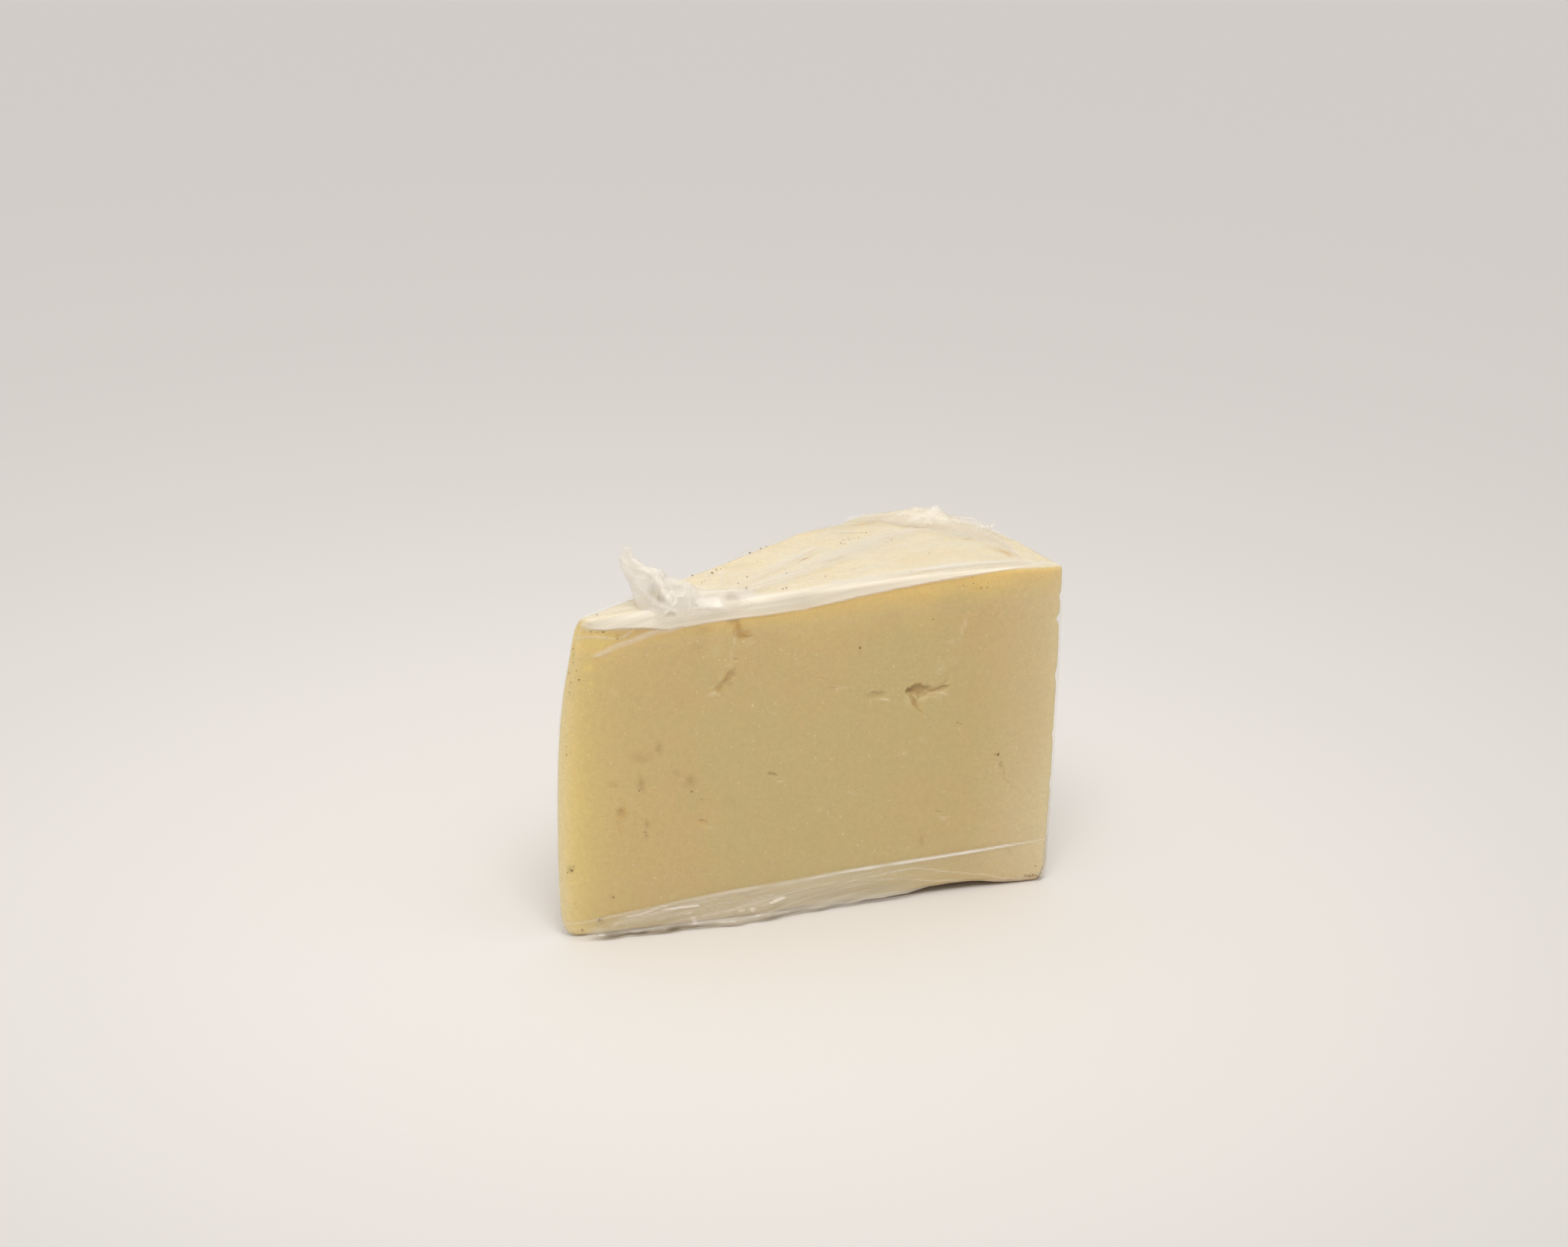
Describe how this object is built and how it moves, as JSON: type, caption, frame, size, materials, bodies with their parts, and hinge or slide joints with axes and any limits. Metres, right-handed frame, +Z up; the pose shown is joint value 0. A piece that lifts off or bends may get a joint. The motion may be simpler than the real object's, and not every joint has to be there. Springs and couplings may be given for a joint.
{
  "type": "wedge of pecorino romano cheese in cling film",
  "caption": "Upright wedge of hard sheep's milk cheese, wrapped in clear cling film with gathered knots of film on its top.",
  "frame": {"origin": "middle of the bounding box, on the surface that the wedge stands on", "axes": "+X along the front cut face from the acute edge to the rim, -Y out of the front cut face, +Z up"},
  "size_m": [0.147, 0.0794, 0.1083],
  "materials": {
    "cheese_paste": "matt, slightly waxy cut paste with a thin pale rind",
    "clear_film": "clear, glossy stretch film, whitish where it is folded"
  },
  "bodies": {
    "root": {"cheese": "cheese_paste", "cling_film": "clear_film"}
  },
  "joints": []
}
